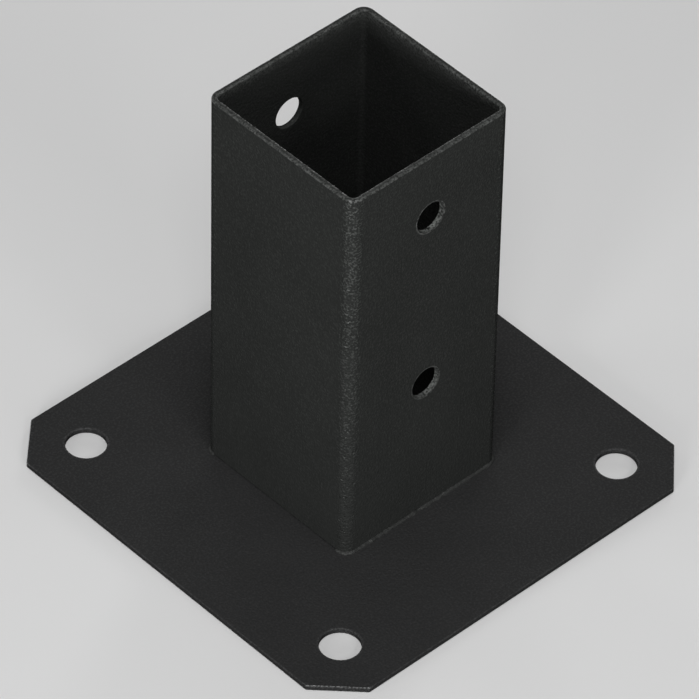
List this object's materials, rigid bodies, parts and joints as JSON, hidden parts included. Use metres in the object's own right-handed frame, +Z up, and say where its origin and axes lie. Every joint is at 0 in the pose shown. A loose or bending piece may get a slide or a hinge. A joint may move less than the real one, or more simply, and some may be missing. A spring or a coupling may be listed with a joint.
{
  "type": "post base",
  "caption": "Screw-down post base: a square sleeve that takes the foot of a square post, welded on a flat plate with corner anchor holes.",
  "frame": {"origin": "middle of the plate's underside, on the surface that the base is anchored to", "axes": "+Z up along the sleeve, towards its open mouth; the two cross screws run along Y, through the front (-Y) and back (+Y) walls"},
  "size_m": [0.16, 0.16, 0.152],
  "materials": {
    "powder_coat": "matt black fine-texture powder coat on steel"
  },
  "bodies": {
    "root": {"base_plate": "powder_coat", "post_sleeve": "powder_coat", "foot_weld": "powder_coat"}
  },
  "joints": []
}
